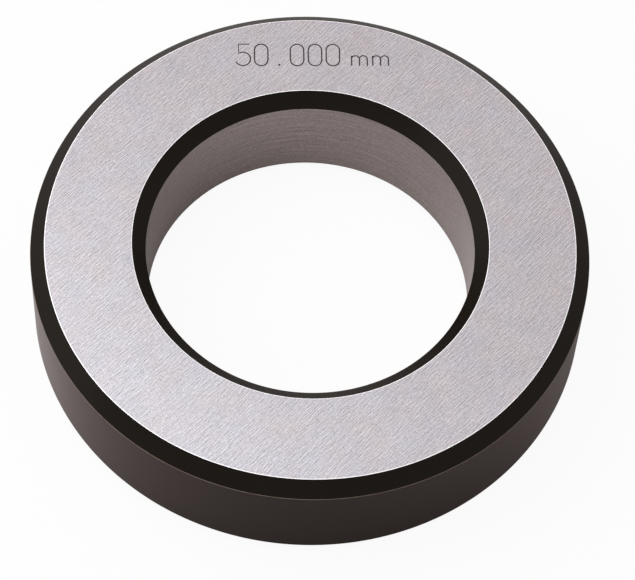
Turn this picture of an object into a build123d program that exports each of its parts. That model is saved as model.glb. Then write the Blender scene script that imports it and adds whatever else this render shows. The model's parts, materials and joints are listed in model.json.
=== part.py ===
from build123d import *
import os

# Setting ring gauge: one solid ring of hardened steel, with a lapped bore and two ground faces.
# Millimetres. +Z is the bore axis, and the origin is where that axis meets the lower face.

# Driving dimensions
bore_diameter = 50.0
wall = 17.5
width = 20.0
bore_chamfer = 2.0
rim_chamfer = 2.15

# Radii that follow from them
bore_radius = bore_diameter / 2
mean_radius = bore_radius + wall / 2

# The ring's section, with both bore corners and both rim corners cut at 45 degrees,
# is turned once about the bore axis.
with BuildPart() as ring:
    with BuildSketch(Plane.XZ) as section:
        with Locations((mean_radius, width / 2)):
            Rectangle(wall, width)
        corners = section.vertices().group_by(Axis.X)
        bore_corners = corners[0]
        rim_corners = corners[-1]
        chamfer(bore_corners, length=bore_chamfer)
        chamfer(rim_corners, length=rim_chamfer)
    revolve(axis=Axis.Z)

ring.part.label = "ring"

os.makedirs("parts", exist_ok=True)
export_step(ring.part, "parts/ring.step")
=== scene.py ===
import json
import math

import bmesh
import bpy
from bpy.props import (
    FloatProperty,
    FloatVectorProperty,
    IntProperty,
    PointerProperty,
)
from mathutils import Matrix, Quaternion, Vector


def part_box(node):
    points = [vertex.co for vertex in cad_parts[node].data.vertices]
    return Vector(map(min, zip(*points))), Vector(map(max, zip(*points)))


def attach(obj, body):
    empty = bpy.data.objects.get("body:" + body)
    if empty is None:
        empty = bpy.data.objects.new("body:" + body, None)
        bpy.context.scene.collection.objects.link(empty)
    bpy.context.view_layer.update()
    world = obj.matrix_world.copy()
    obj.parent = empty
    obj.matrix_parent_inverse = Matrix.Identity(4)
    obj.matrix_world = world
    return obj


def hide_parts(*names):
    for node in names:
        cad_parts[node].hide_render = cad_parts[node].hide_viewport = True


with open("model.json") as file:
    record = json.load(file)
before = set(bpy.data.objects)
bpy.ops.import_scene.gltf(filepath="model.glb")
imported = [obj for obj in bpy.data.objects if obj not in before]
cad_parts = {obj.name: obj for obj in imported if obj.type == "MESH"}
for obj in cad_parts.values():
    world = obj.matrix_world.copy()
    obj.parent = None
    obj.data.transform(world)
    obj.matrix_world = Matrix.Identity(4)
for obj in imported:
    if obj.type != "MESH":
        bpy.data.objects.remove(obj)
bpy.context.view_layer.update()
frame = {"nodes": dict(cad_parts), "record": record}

bl_info = {
    "name": "Setting Ring Gauge",
    "version": (1, 0, 0),
    "blender": (4, 5, 0),
    "location": "3D View > Sidebar > Ring Gauge",
    "description": "Makes a setting ring with ground faces, a lapped bore and an engraved size",
    "category": "Object",
}

MM = 0.001

# Sizes that the frame holds, in metres
RING_LOW, RING_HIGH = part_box("ring")
RIM_RADIUS = RING_HIGH.x
WIDTH = RING_HIGH.z - RING_LOW.z
BORE = next(m for m in frame["record"]["mounts"] if m["name"] == "bore")
BORE_RADIUS = BORE["dims"]["r_mm"] * MM
BORE_BEVEL = (WIDTH - BORE["dims"]["length_mm"] * MM) / 2

# Points that are nearer to each other than this become one
SAME_POINT = 1e-7

# The upper face ends at its farthest point, and the rim's bevel begins there
FACE_RADIUS = max(
    v.co.xy.length
    for v in frame["nodes"]["ring"].data.vertices
    if v.co.z > RING_HIGH.z - SAME_POINT
)
RIM_BEVEL = RIM_RADIUS - FACE_RADIUS

# The width of the photograph's frame and its camera's focal length, both in pixels
PICTURE_WIDTH = 635
FOCAL_PIXELS = 3115.5

# The width of the camera's sensor in millimetres, and the nearest and farthest that it sees in
# metres
SENSOR = 36.0
NEAREST, FARTHEST = 0.01, 20.0


class RingSizes(bpy.types.PropertyGroup):
    facets: IntProperty(
        name="Facets",
        description="Number of flats that make up one turn of the ring",
        default=384,
        min=48,
        max=1024,
    )
    steel_edge: FloatProperty(
        name="Steel edge",
        description="Width of the stoned edge round the outside of each ground face",
        default=0.12 * MM,
        unit="LENGTH",
    )
    inner_edge: FloatProperty(
        name="Inner edge",
        description="Width of the stoned edge round the inside of each ground face",
        default=0.1 * MM,
        unit="LENGTH",
    )
    black_edge: FloatProperty(
        name="Black edge",
        description="Width of the broken edge between each bevel and the rim or the bore",
        default=0.14 * MM,
        unit="LENGTH",
    )


class MarkSizes(bpy.types.PropertyGroup):
    height: FloatProperty(
        name="Height",
        description="Height of a figure",
        default=4.04 * MM,
        unit="LENGTH",
    )
    pitch: FloatProperty(
        name="Pitch",
        description="Distance from one figure to the next",
        default=2.81 * MM,
        unit="LENGTH",
    )
    start: FloatProperty(
        name="Start",
        description="Left edge of the first figure, measured from the bore axis",
        default=-11.13 * MM,
        unit="LENGTH",
    )
    baseline: FloatProperty(
        name="Baseline",
        description="Foot of the figures, measured from the bore axis",
        default=31.67 * MM,
        unit="LENGTH",
    )
    groove: FloatProperty(
        name="Groove",
        description="Width of the engraved line",
        default=0.22 * MM,
        unit="LENGTH",
    )
    depth: FloatProperty(
        name="Depth",
        description="Depth of the engraved line",
        default=0.07 * MM,
        unit="LENGTH",
    )


class FinishColours(bpy.types.PropertyGroup):
    steel: FloatVectorProperty(
        name="Ground steel",
        description="Colour of the ground faces",
        default=(0.498, 0.482, 0.522),
        subtype="COLOR",
    )
    straw: FloatVectorProperty(
        name="Straw steel",
        description="Colour that the ground faces drift to in patches",
        default=(0.522, 0.478, 0.492),
        subtype="COLOR",
    )
    bore: FloatVectorProperty(
        name="Lapped steel",
        description="Colour of the lapped bore",
        default=(0.43, 0.384, 0.375),
        subtype="COLOR",
    )
    edge: FloatVectorProperty(
        name="Edge steel",
        description="Colour of the bright stoned edges",
        default=(0.93, 0.92, 0.93),
        subtype="COLOR",
    )
    oxide: FloatVectorProperty(
        name="Black oxide",
        description="Colour of the blackened outside",
        default=(0.023, 0.019, 0.0173),
        subtype="COLOR",
    )
    black: FloatVectorProperty(
        name="Bevel oxide",
        description="Colour of the blackened bevels",
        default=(0.010, 0.0065, 0.0035),
        subtype="COLOR",
    )
    # The rubbed colour is partly oxide worn thin and partly a painted highlight: a tan line for the
    # light that the rim's upper corner catches
    rubbed: FloatVectorProperty(
        name="Rubbed oxide",
        description="Colour where the oxide is rubbed thin along the upper corner of the rim",
        default=(0.27, 0.21, 0.17),
        subtype="COLOR",
    )
    mark: FloatVectorProperty(
        name="Mark",
        description="Colour in the engraved lines",
        default=(0.05, 0.036, 0.034),
        subtype="COLOR",
    )


class StageSizes(bpy.types.PropertyGroup):
    azimuth: FloatProperty(
        name="Azimuth",
        description="Turn of the camera round the ring",
        default=math.radians(-4.1),
        subtype="ANGLE",
    )
    elevation: FloatProperty(
        name="Elevation",
        description="Height of the camera above the horizon",
        default=math.radians(60.303),
        subtype="ANGLE",
    )
    roll: FloatProperty(
        name="Roll",
        description="Turn of the camera about its own line of sight",
        default=math.radians(3.539),
        subtype="ANGLE",
    )
    distance: FloatProperty(
        name="Distance",
        description="From the camera to the ring",
        default=489.0 * MM,
        unit="LENGTH",
    )
    aim_right: FloatProperty(
        name="Aim right",
        description="How far the camera sits to the right of the ring's centre",
        default=1.62 * MM,
        unit="LENGTH",
    )
    aim_up: FloatProperty(
        name="Aim up",
        description="How far the camera sits above the ring's centre",
        default=2.34 * MM,
        unit="LENGTH",
    )
    floor: FloatVectorProperty(
        name="Floor",
        description="Colour of the floor",
        default=(0.9, 0.83, 0.815),
        subtype="COLOR",
    )
    room: FloatProperty(
        name="Room light",
        description="Strength of the even light from all round",
        default=0.3,
        min=0.0,
    )
    tone: FloatVectorProperty(
        name="Room colour",
        description="Colour of the room's light",
        default=(1.0, 0.965, 0.955),
        subtype="COLOR",
    )
    reflected: FloatProperty(
        name="Reflected room",
        description="Brightness of the room in metal, where 1 is white",
        default=0.9,
        min=0.0,
    )


class Number:
    """A number in a node tree. Arithmetic on it adds the Math nodes."""

    def __init__(self, nodes, socket):
        self.nodes = nodes
        self.socket = socket

    def maths(self, operation, first, second):
        """A Math node on two numbers."""
        return self.nodes.add("ShaderNodeMath", {"operation": operation}, {0: first, 1: second})

    def __add__(self, other):
        return self.maths("ADD", self, other)

    def __radd__(self, other):
        return self.maths("ADD", other, self)

    def __sub__(self, other):
        return self.maths("SUBTRACT", self, other)

    def __rsub__(self, other):
        return self.maths("SUBTRACT", other, self)

    def __mul__(self, other):
        return self.maths("MULTIPLY", self, other)

    def __rmul__(self, other):
        return self.maths("MULTIPLY", other, self)

    def larger(self, other):
        """The larger of the two numbers."""
        return self.maths("MAXIMUM", self, other)

    def kept(self, low, high):
        """The number, held between low and high."""
        return self.maths("MINIMUM", self.larger(low), high)


class Nodes:
    """Builds one node tree, from its coordinates to its output."""

    def __init__(self, tree):
        self.tree = tree
        tree.nodes.clear()

    def add(self, kind, settings=None, sockets=None, output=0):
        """Adds a node: its settings first, then its sockets' values or links.

        What comes back is one of its outputs, or the node itself where it has none.
        """
        node = self.tree.nodes.new(kind)
        for name, value in (settings or {}).items():
            setattr(node, name, value)
        for key, value in (sockets or {}).items():
            if isinstance(value, Number):
                self.tree.links.new(value.socket, node.inputs[key])
            else:
                node.inputs[key].default_value = value
        if not node.outputs:
            return node
        return Number(self, node.outputs[output])

    def place(self, features, turn, start):
        """The point on the object, turned about Z, with so many units to a millimetre."""
        point = self.add("ShaderNodeTexCoord", output="Object")
        settings = {"vector_type": "POINT"}
        turned = self.add("ShaderNodeMapping", settings, {"Vector": point, "Rotation": (0, 0, turn)})
        scale = tuple(count / MM for count in features)
        sockets = {"Vector": turned, "Scale": scale, "Location": start}
        return self.add("ShaderNodeMapping", settings, sockets)

    def noise(self, features, detail=2.0, turn=0.0, start=(0.5, 0.5, 0.5)):
        """A smooth pattern round 0, mostly from -1 to 1, with so many features to a millimetre.

        It is flat wherever its place is a whole number, so the ring's faces start at a half.
        """
        sockets = {"Vector": self.place(features, turn, start), "Scale": 1.0, "Detail": detail}
        return (self.add("ShaderNodeTexNoise", {"noise_dimensions": "3D"}, sockets) - 0.5) * 4.0

    def blend(self, share, first, second):
        """A colour on the way from the first, the node's input 6, to the second, its input 7."""
        sockets = {"Factor": share, 6: (*first, 1.0), 7: (*second, 1.0)}
        return self.add("ShaderNodeMix", {"data_type": "RGBA"}, sockets, output=2)

    def tint(self, colour, factor):
        """The colour, made lighter or darker by a factor."""
        colour = colour if isinstance(colour, Number) else tuple(colour)
        return self.add("ShaderNodeVectorMath", {"operation": "SCALE"}, {0: colour, "Scale": factor})

    def bump(self, height, strength, distance):
        """A normal that makes the height stand out, by up to so many metres."""
        sockets = {"Height": height, "Strength": strength, "Distance": distance}
        return self.add("ShaderNodeBump", None, sockets)

    def finish(self, **sockets):
        """The surface's own shader, whose sockets are named in small letters, and the output."""
        named = {name.replace("_", " ").title(): value for name, value in sockets.items()}
        if "Ior" in named:
            named["IOR"] = named.pop("Ior")
        shader = self.add("ShaderNodeBsdfPrincipled", None, named)
        self.add("ShaderNodeOutputMaterial", None, {"Surface": shader})


def new_material(name):
    """A new material, and the builder of its nodes."""
    material = bpy.data.materials.new(name)
    material.use_nodes = True
    return material, Nodes(material.node_tree)


# The way that the ground faces' scratches run, and how far some lean to either side of it
LAY_ANGLE = math.radians(45.0)
LAY_SPREAD = math.radians(7.0)

# How rough each finish is, where 0 is a mirror and 1 is matt
GROUND_ROUGHNESS = 0.34
LAPPED_ROUGHNESS = 0.24
STONED_ROUGHNESS = 0.65
OXIDE_ROUGHNESS = 0.2
BEVEL_ROUGHNESS = 0.32
RUBBED_ROUGHNESS = 0.35
MARK_ROUGHNESS = 0.5

# How strongly the bevels mirror, and their rubbed corner with its painted highlight, and the hue of
# the rim's gloss
BEVEL_IOR = 1.2
RUBBED_IOR = 1.25
OXIDE_GLOSS = (0.95, 0.88, 0.87, 1.0)

# How deep the scratches are, and the lines round the bore and the rim
SCRATCH_DEPTH = 0.001 * MM
LINE_DEPTH = 0.002 * MM


def scratches(nodes, features=(0.7, 10.0, 1.0), beside=(0.5, 1.3, 0.5), turn=0.0):
    """Short straight scratches, each painted light along one side and dark along the other: painted
    shading of their relief, as if lit from one side.
    """
    light = nodes.noise(features, detail=0.0, turn=turn)
    dark = nodes.noise(features, detail=0.0, turn=turn, start=beside)
    return light - dark


def ground_steel(colours):
    """Surface-ground steel: fine straight scratches, nearly one way across the face, whose painted
    light and dark sides shade its colour.
    """
    material, nodes = new_material("ground_steel")
    lay = scratches(nodes, turn=-LAY_ANGLE)
    left = scratches(nodes, turn=-LAY_ANGLE - LAY_SPREAD)
    right = scratches(nodes, turn=-LAY_ANGLE + LAY_SPREAD)
    grain = nodes.noise((6.0, 6.0, 6.0), detail=0.0)
    cloud = nodes.noise((0.3, 0.3, 0.3))
    patch = nodes.noise((0.22, 0.22, 0.22)) * 0.5 + 0.5
    steel = nodes.blend(patch.kept(0.0, 1.0), colours.steel, colours.straw)
    # Most scratches run one way, some lean to either side, and a finer grain breaks them up; the
    # scratches' light and dark sides are painted shading
    fine = lay * 0.75 + left * 0.35 + right * 0.3 + grain * 0.5
    nodes.finish(
        base_color=nodes.tint(steel, 1.0 + fine * 0.3 + cloud * 0.03),
        metallic=1.0,
        roughness=(GROUND_ROUGHNESS + fine * 0.02 + cloud * 0.02).kept(0.2, 0.6),
        normal=nodes.bump(lay, strength=0.2, distance=SCRATCH_DEPTH),
    )
    return material


def lapped_steel(colours):
    """Lapped steel: faint lines round the bore, each painted light along one side and dark along the
    other as shading in its colour.
    """
    material, nodes = new_material("lapped_steel")
    lines = scratches(nodes, (0.17, 0.17, 2.2), (0.5, 0.5, 1.3))
    cloud = nodes.noise((0.15, 0.15, 0.3))
    grain = nodes.noise((3.0, 3.0, 4.0), detail=0.0)
    nodes.finish(
        base_color=nodes.tint(colours.bore, 1.0 + lines * 0.08 + grain * 0.15 + cloud * 0.02),
        metallic=1.0,
        roughness=(LAPPED_ROUGHNESS + lines * 0.02).kept(0.15, 0.4),
        normal=nodes.bump(lines, strength=0.2, distance=LINE_DEPTH),
    )
    return material


def stoned_edge(colours):
    """Bare steel where the sharp corners were stoned."""
    material, nodes = new_material("stoned_edge")
    nicks = nodes.noise((1.5, 1.5, 1.5))
    nodes.finish(
        base_color=nodes.tint(colours.edge, 1.0 + nicks * 0.08),
        metallic=1.0,
        roughness=(STONED_ROUGHNESS + nicks * 0.04).kept(0.4, 0.8),
    )
    return material


def oxide_patterns(nodes):
    """The faint lines under the oxide, which run round the ring, and the oxide's own clouds."""
    return nodes.noise((0.05, 0.05, 3.0)), nodes.noise((0.1, 0.1, 0.1), detail=3.0)


def black_oxide(colours):
    """Blackened steel, ground round the outside: dark brown, with faint lines under the oxide."""
    material, nodes = new_material("black_oxide")
    lines, cloud = oxide_patterns(nodes)
    nodes.finish(
        base_color=nodes.tint(colours.oxide, 1.0 + lines * 0.06 + cloud * 0.08),
        metallic=1.0,
        roughness=(OXIDE_ROUGHNESS + lines * 0.02 + cloud * 0.02).kept(0.15, 0.5),
        specular_tint=OXIDE_GLOSS,
        normal=nodes.bump(lines, strength=0.1, distance=LINE_DEPTH),
    )
    return material


def black_bevel(colours):
    """The bevels' oxide, duller and darker than the outside's."""
    material, nodes = new_material("black_bevel")
    lines, cloud = oxide_patterns(nodes)
    nodes.finish(
        base_color=nodes.tint(colours.black, 1.0 + lines * 0.1 + cloud * 0.15),
        roughness=(BEVEL_ROUGHNESS + lines * 0.02 + cloud * 0.02).kept(0.1, 0.5),
        ior=BEVEL_IOR,
        normal=nodes.bump(lines, strength=0.1, distance=LINE_DEPTH),
    )
    return material


def rubbed_edge_highlight(colours):
    """Black oxide rubbed thin along a corner, where the brown of the steel comes through: partly
    that wear and partly a painted highlight.
    """
    material, nodes = new_material("rubbed_edge_highlight")
    rub = nodes.noise((0.8, 0.8, 0.8))
    nodes.finish(
        base_color=nodes.tint(colours.rubbed, 1.0 + rub * 0.3),
        roughness=(RUBBED_ROUGHNESS + rub * 0.04).kept(0.2, 0.5),
        ior=RUBBED_IOR,
    )
    return material


def engraved_line(colours):
    """The dark floor of an engraved line."""
    material, nodes = new_material("engraved_line")
    grain = nodes.noise((3.0, 3.0, 3.0))
    nodes.finish(
        base_color=nodes.tint(colours.mark, 1.0 + grain * 0.2),
        metallic=0.6,
        roughness=(MARK_ROUGHNESS + grain * 0.05).kept(0.3, 0.7),
    )
    return material


# The ring's finishes, in the order of its material slots, which the names below number
FINISHES = (
    ground_steel,
    black_oxide,
    black_bevel,
    lapped_steel,
    stoned_edge,
    rubbed_edge_highlight,
    engraved_line,
)
GROUND, BLACK, BEVEL, LAPPED, STONED, RUBBED_HIGHLIGHT, ENGRAVED = range(len(FINISHES))


# How far a stoned edge falls away from the face over its width, and how much wider the
# blackened bevels are than the cut ones
EDGE_FALL = 0.2
BLACK_LIP = 0.06 * MM

# How flat a face of the plain ring is at the least, where 0 is upright and 1 is level, to be a
# ground face, a stoned edge or a bevel
GROUND_LEVEL, STONED_LEVEL, BEVEL_LEVEL = 0.999, 0.9, 0.1

# The smallest turn at which an edge is a corner to round, and at which it is shaded as sharp
CORNER_ANGLE = math.radians(30.0)
SHARP_ANGLE = math.radians(10.0)


def section_corners(sizes):
    """The corners of the ring's section as (radius, height), once round it."""
    low, high = RING_LOW.z, RING_HIGH.z
    outer = RIM_BEVEL + BLACK_LIP
    inner = BORE_BEVEL + BLACK_LIP
    outside, inside = RIM_RADIUS - outer, BORE_RADIUS + inner
    upper = [
        (RIM_RADIUS, high - outer),
        (outside, high - sizes.steel_edge * EDGE_FALL),
        (outside - sizes.steel_edge, high),
        (inside + sizes.inner_edge, high),
        (inside, high - sizes.inner_edge * EDGE_FALL),
        (BORE_RADIUS, high - inner),
    ]
    return upper + [(radius, low + high - height) for radius, height in reversed(upper)]


def finish_of(face):
    """Which finish a face of the plain ring has, from the way it faces."""
    level = abs(face.normal.z)
    if level > GROUND_LEVEL:
        return GROUND
    if level > STONED_LEVEL:
        return STONED
    if level > BEVEL_LEVEL:
        return BEVEL
    if face.calc_center_median().xy.length < BORE_RADIUS + BORE_BEVEL / 2:
        return LAPPED
    return BLACK


def break_edges(bm, width, finish, chosen):
    """Rounds the corner circles that chosen picks, and gives the rounds a finish."""
    edges = [e for e in bm.edges if e.calc_face_angle(0.0) > CORNER_ANGLE and chosen(e)]
    made = bmesh.ops.bevel(
        bm,
        geom=edges,
        offset=width / 2,
        offset_type="OFFSET",
        segments=2,
        profile=0.5,
        affect="EDGES",
        material=-1,
    )
    for face in made["faces"]:
        face.material_index = finish


def borders(edge, finish):
    """Whether a face beside the edge has the finish."""
    return any(f.material_index == finish for f in edge.link_faces)


def is_upper(edge):
    """Whether the edge is nearer to the upper face than to the lower one."""
    return edge.verts[0].co.z > (RING_LOW.z + RING_HIGH.z) / 2


def plain_ring(sizes):
    """The ring without its mark: its section turned about the bore axis."""
    bm = bmesh.new()
    corners = [bm.verts.new((radius, 0.0, height)) for radius, height in section_corners(sizes)]
    sides = [bm.edges.new((a, b)) for a, b in zip(corners, corners[1:] + corners[:1])]
    bmesh.ops.spin(
        bm,
        geom=corners + sides,
        cent=(0.0, 0.0, 0.0),
        axis=(0.0, 0.0, 1.0),
        angle=math.tau,
        steps=sizes.facets,
        use_merge=True,
    )
    bmesh.ops.remove_doubles(bm, verts=bm.verts, dist=SAME_POINT)
    bmesh.ops.recalc_face_normals(bm, faces=bm.faces)
    for face in bm.faces:
        face.material_index = finish_of(face)
    # The rim's upper corners get the rubbed tan, partly wear and partly a painted highlight; the
    # lower ones keep the bevels' dark oxide, so the rim is lighter at the top
    break_edges(bm, sizes.black_edge, RUBBED_HIGHLIGHT, lambda e: borders(e, BLACK) and is_upper(e))
    break_edges(bm, sizes.black_edge, BEVEL, lambda e: borders(e, BLACK) or borders(e, LAPPED))
    mesh = bpy.data.meshes.new("setting_ring")
    bm.to_mesh(mesh)
    bm.free()
    return mesh


# The turn between two points of a figure's arc, in degrees, and the fewest such turns
ARC_STEP = 12
FEWEST_STEPS = 4


def arc(x, y, across, up, start, stop):
    """Points on the arc of an ellipse round x, y, from one turn in degrees to another."""
    steps = max(FEWEST_STEPS, round(abs(stop - start) / ARC_STEP))
    turns = [math.radians(start + (stop - start) * k / steps) for k in range(steps + 1)]
    return [(x + across * math.cos(t), y + up * math.sin(t)) for t in turns]


# The lines of each figure, as the points that the engraver's cutter passes. A figure is 1 high
# and 0.55 wide. All ten are here, because the mark follows the bore's size.
FIGURES = {
    "0": [arc(0.275, 0.725, 0.26, 0.275, 0, 180) + arc(0.275, 0.275, 0.26, 0.275, 180, 360)
          + [(0.535, 0.725)]],
    "1": [[(0.1, 0.8), (0.3, 1.0), (0.3, 0.0)]],
    "2": [arc(0.275, 0.73, 0.275, 0.27, 165, -35) + [(0.0, 0.0), (0.55, 0.0)]],
    "3": [arc(0.25, 0.77, 0.25, 0.23, 150, -90) + arc(0.25, 0.27, 0.29, 0.27, 90, -150)],
    "4": [[(0.42, 0.0), (0.42, 1.0), (0.0, 0.27), (0.55, 0.27)]],
    "5": [[(0.51, 1.0), (0.09, 1.0)] + arc(0.26, 0.3125, 0.295, 0.3125, 125, -154)],
    "6": [arc(0.275, 0.29, 0.275, 0.29, 150, -210), [(0.037, 0.435), (0.4, 1.0)]],
    "7": [[(0.0, 1.0), (0.55, 1.0), (0.18, 0.0)]],
    "8": [arc(0.275, 0.77, 0.24, 0.23, -90, 270), arc(0.275, 0.27, 0.275, 0.27, 90, 450)],
    "9": [arc(0.275, 0.71, 0.275, 0.29, -30, 330), [(0.513, 0.565), (0.15, 0.0)]],
    ".": [[(0.275, 0.04)]],
    "m": [
        [(0.02, 0.47), (0.02, 0.0)],
        arc(0.172, 0.32, 0.152, 0.15, 160, 0) + [(0.324, 0.0)],
        arc(0.476, 0.32, 0.152, 0.15, 160, 0) + [(0.628, 0.0)],
    ],
}

# The distance from one letter to the next, and the added gap between the figures and the
# letters, where 1 is a figure's height
LETTER_PITCH = 0.82
LETTER_GAP = 0.28

# How much larger the cutter of the point is than that of a line
POINT_GROWTH = 1.5


def mark_lines(sizes):
    """The lines of the size mark on the upper face, in metres, with the bore's own size."""
    figures = f"{2 * BORE_RADIUS / MM:.3f}"
    letters = "mm"
    pitch = sizes.pitch / sizes.height
    steps = [pitch] * len(figures) + [LETTER_PITCH] * len(letters)
    steps[len(figures) - 1] += LETTER_GAP
    lines, left = [], 0.0
    for sign, step in zip(figures + letters, steps):
        lines += [[(left + x, y) for x, y in line] for line in FIGURES[sign]]
        left += step
    return [
        [(sizes.start + x * sizes.height, sizes.baseline + y * sizes.height) for x, y in line]
        for line in lines
    ]


def cutter_round(sizes):
    """Radius of the round cutter, and its centre's height above the face."""
    half = sizes.groove / 2
    radius = (half ** 2 + sizes.depth ** 2) / (2 * sizes.depth)
    return radius, radius - sizes.depth


def mark_cutter(sizes):
    """The solid that the engraving takes away: a round bar along each line, a ball at a point."""
    radius, lift = cutter_round(sizes)
    height = RING_HIGH.z + lift
    path = bpy.data.curves.new("mark_path", "CURVE")
    path.dimensions = "3D"
    path.bevel_depth = radius
    path.bevel_resolution = 3
    path.use_fill_caps = True
    dots = []
    for line in mark_lines(sizes):
        if len(line) == 1:
            dots.append(line[0])
            continue
        closed = math.dist(line[0], line[-1]) < sizes.groove / 2
        points = line[:-1] if closed else line
        spline = path.splines.new("POLY")
        spline.points.add(len(points) - 1)
        spline.use_cyclic_u = closed
        for point, (x, y) in zip(spline.points, points):
            point.co = (x, y, height, 1.0)
    holder = bpy.data.objects.new("mark_path", path)
    bm = bmesh.new()
    bm.from_mesh(bpy.data.meshes.new_from_object(holder))
    bpy.data.objects.remove(holder)
    for x, y in dots:
        bmesh.ops.create_uvsphere(
            bm,
            u_segments=24,
            v_segments=12,
            radius=radius * POINT_GROWTH,
            matrix=Matrix.Translation((x, y, height)),
        )
    bmesh.ops.remove_doubles(bm, verts=bm.verts, dist=SAME_POINT)
    bmesh.ops.recalc_face_normals(bm, faces=bm.faces)
    mesh = bpy.data.meshes.new("mark_cutter")
    bm.to_mesh(mesh)
    bm.free()
    return mesh


def open_edges(mesh):
    """How many edges of a mesh don't have two faces."""
    bm = bmesh.new()
    bm.from_mesh(mesh)
    count = sum(not e.is_manifold for e in bm.edges)
    bm.free()
    return count


def shown(name, mesh):
    """A new object in the scene, at the origin."""
    piece = bpy.data.objects.new(name, mesh)
    bpy.context.scene.collection.objects.link(piece)
    return piece


class RING_OT_body(bpy.types.Operator):
    """Turn the ring's section about the bore axis and give each face its finish"""

    bl_idname = "ring_gauge.body"
    bl_label = "Make Ring"

    def execute(self, context):
        ring = shown("setting_ring", plain_ring(context.scene.ring_sizes))
        for make in FINISHES:
            ring.data.materials.append(make(context.scene.ring_colours))
        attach(ring, "root")
        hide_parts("ring")
        return {"FINISHED"}


class RING_OT_mark(bpy.types.Operator):
    """Engrave the bore's nominal size in the upper face"""

    bl_idname = "ring_gauge.mark"
    bl_label = "Engrave Size"

    def execute(self, context):
        ring = bpy.data.objects["setting_ring"]
        cutter = shown("mark_cutter", mark_cutter(context.scene.ring_mark))
        # The cut faces take their finish from the cutter, which has the ring's materials
        for material in ring.data.materials:
            cutter.data.materials.append(material)
        for face in cutter.data.polygons:
            face.material_index = ENGRAVED
        cut = ring.modifiers.new("engraving", "BOOLEAN")
        cut.operation = "DIFFERENCE"
        cut.solver = "EXACT"
        cut.use_self = True
        cut.object = cutter
        context.view_layer.update()
        depsgraph = context.evaluated_depsgraph_get()
        engraved = bpy.data.meshes.new_from_object(ring.evaluated_get(depsgraph))
        ring.modifiers.clear()
        ring.data = engraved
        bpy.data.objects.remove(cutter)
        if open_edges(engraved):
            raise RuntimeError("the engraving left the ring open")
        for face in engraved.polygons:
            face.use_smooth = True
        engraved.set_sharp_from_angle(angle=SHARP_ANGLE)
        return {"FINISHED"}


# Each lamp's name, place, width, brightness and colour
LAMPS = (
    ("key_lamp", (-0.165, 0.05, 0.427), 0.35, 1.2, (0.8, 0.93, 1.0)),
    ("side_lamp", (-0.373, 0.086, 0.321), 0.6, 0.94, (1.0, 0.96, 0.93)),
)


def soft_box(name, place, size, strength, colour):
    """A square lamp that faces the foot of the bore axis."""
    data = bpy.data.lights.new(name, "AREA")
    data.shape = "SQUARE"
    data.size = size
    data.energy = strength * math.pi * size * size
    data.color = colour
    lamp = bpy.data.objects.new(name, data)
    lamp.location = place
    lamp.rotation_mode = "QUATERNION"
    lamp.rotation_quaternion = (-Vector(place)).to_track_quat("-Z", "Y")
    bpy.context.scene.collection.objects.link(lamp)


def seen_rays(nodes):
    """1 for a ray from the camera, in a reflection or through glass, and 0 for the rest."""
    camera = nodes.add("ShaderNodeLightPath", output="Is Camera Ray")
    gloss = nodes.add("ShaderNodeLightPath", output="Is Glossy Ray")
    through = nodes.add("ShaderNodeLightPath", output="Is Transmission Ray")
    return camera, gloss.larger(through)


# The share of the floor that glows for the camera, and in metal, and how strongly it glows.
# The rest of the floor is matt. With the light that falls on it, the two make white.
CAMERA_GLOW = 0.9
GLOSS_GLOW = 0.02
FLOOR_GLOW = 1.04

# How far the floor lies under the ring, and how far it reaches from the bore axis
FLOOR_GAP = 0.02 * MM
FLOOR_REACH = 4.0

WHITE = (1.0, 1.0, 1.0)


def floor_material(colour):
    """A white floor that the camera sees as white, with a faint shadow under the ring."""
    material, nodes = new_material("floor")
    camera, gloss = seen_rays(nodes)
    matt = nodes.add("ShaderNodeBsdfDiffuse", None, {"Color": (*colour, 1.0)})
    glow = nodes.add("ShaderNodeEmission", None, {"Strength": FLOOR_GLOW})
    share = camera * CAMERA_GLOW + gloss * GLOSS_GLOW
    mixed = nodes.add("ShaderNodeMixShader", None, {0: share, 1: matt, 2: glow})
    nodes.add("ShaderNodeOutputMaterial", None, {"Surface": mixed})
    return material


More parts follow.
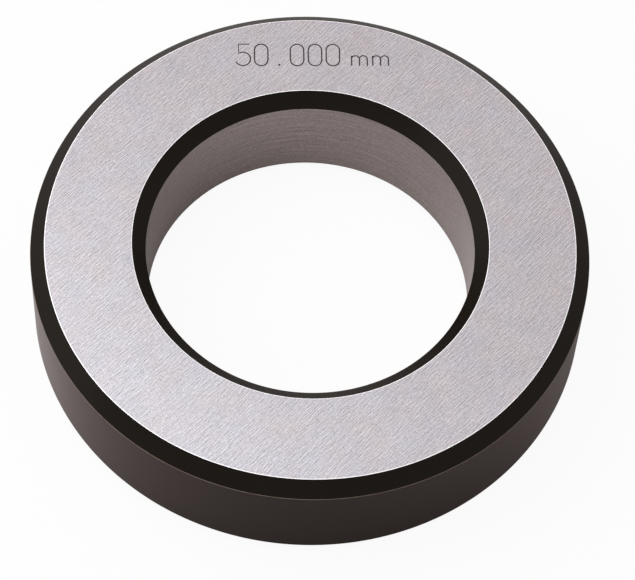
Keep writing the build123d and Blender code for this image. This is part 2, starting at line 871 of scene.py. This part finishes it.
class RING_OT_stage(bpy.types.Operator):
    """Set out the floor, the lamps, the room and the camera"""

    bl_idname = "ring_gauge.stage"
    bl_label = "Set Stage"

    def execute(self, context):
        sizes = context.scene.ring_stage
        self.set_floor(sizes)
        for lamp in LAMPS:
            soft_box(*lamp)
        self.set_room(context, sizes)
        context.scene.view_settings.view_transform = "Standard"
        self.set_camera(context, sizes)
        return {"FINISHED"}

    def set_floor(self, sizes):
        """A wide flat floor, just under the ring."""
        bm = bmesh.new()
        bmesh.ops.create_grid(bm, x_segments=1, y_segments=1, size=FLOOR_REACH)
        bmesh.ops.translate(bm, verts=bm.verts, vec=(0.0, 0.0, RING_LOW.z - FLOOR_GAP))
        mesh = bpy.data.meshes.new("floor")
        bm.to_mesh(mesh)
        bm.free()
        mesh.materials.append(floor_material(sizes.floor))
        floor = shown("floor", mesh)

    def set_room(self, context, sizes):
        """Even light from all round, which the camera sees as white."""
        world = bpy.data.worlds.new("room")
        context.scene.world = world
        world.use_nodes = True
        nodes = Nodes(world.node_tree)
        camera, gloss = seen_rays(nodes)
        seen = camera.larger(gloss)
        strength = camera + gloss * sizes.reflected + (1.0 - seen) * sizes.room
        colour = nodes.blend(camera, sizes.tone, WHITE)
        light = nodes.add("ShaderNodeBackground", None, {"Color": colour, "Strength": strength})
        nodes.add("ShaderNodeOutputWorld", None, {"Surface": light})

    def set_camera(self, context, sizes):
        """A camera where the photograph's was."""
        azimuth, elevation = sizes.azimuth, sizes.elevation
        back = Vector((
            math.sin(azimuth) * math.cos(elevation),
            -math.cos(azimuth) * math.cos(elevation),
            math.sin(elevation),
        ))
        turn = (-back).to_track_quat("-Z", "Y") @ Quaternion((0.0, 0.0, 1.0), sizes.roll)
        data = bpy.data.cameras.new("camera")
        data.sensor_width = SENSOR
        data.lens = FOCAL_PIXELS * SENSOR / PICTURE_WIDTH
        data.clip_start = NEAREST
        data.clip_end = FARTHEST
        camera = bpy.data.objects.new("camera", data)
        camera.rotation_mode = "QUATERNION"
        camera.rotation_quaternion = turn
        aim = turn @ Vector((sizes.aim_right, sizes.aim_up, 0.0))
        camera.location = back * sizes.distance + aim
        context.scene.collection.objects.link(camera)
        context.scene.camera = camera


class RING_PT_panel(bpy.types.Panel):
    """The ring's sizes, colours and steps"""

    bl_idname = "RING_PT_panel"
    bl_label = "Setting Ring Gauge"
    bl_space_type = "VIEW_3D"
    bl_region_type = "UI"
    bl_category = "Ring Gauge"

    def draw(self, context):
        for operator in OPERATORS:
            self.layout.operator(operator.bl_idname)
        for name, _ in GROUPS:
            group = getattr(context.scene, name)
            box = self.layout.box()
            for prop in group.bl_rna.properties:
                if prop.identifier not in ("rna_type", "name"):
                    box.prop(group, prop.identifier)


OPERATORS = (RING_OT_stage, RING_OT_body, RING_OT_mark)
GROUPS = (
    ("ring_sizes", RingSizes),
    ("ring_mark", MarkSizes),
    ("ring_colours", FinishColours),
    ("ring_stage", StageSizes),
)


def register():
    for name, group in GROUPS:
        bpy.utils.register_class(group)
        setattr(bpy.types.Scene, name, PointerProperty(type=group))
    for thing in (*OPERATORS, RING_PT_panel):
        bpy.utils.register_class(thing)


def unregister():
    for thing in (RING_PT_panel, *reversed(OPERATORS)):
        bpy.utils.unregister_class(thing)
    for name, group in reversed(GROUPS):
        delattr(bpy.types.Scene, name)
        bpy.utils.unregister_class(group)


def main():
    register()
    bpy.ops.ring_gauge.stage()
    bpy.ops.ring_gauge.body()
    bpy.ops.ring_gauge.mark()


if __name__ == "__main__":
    main()
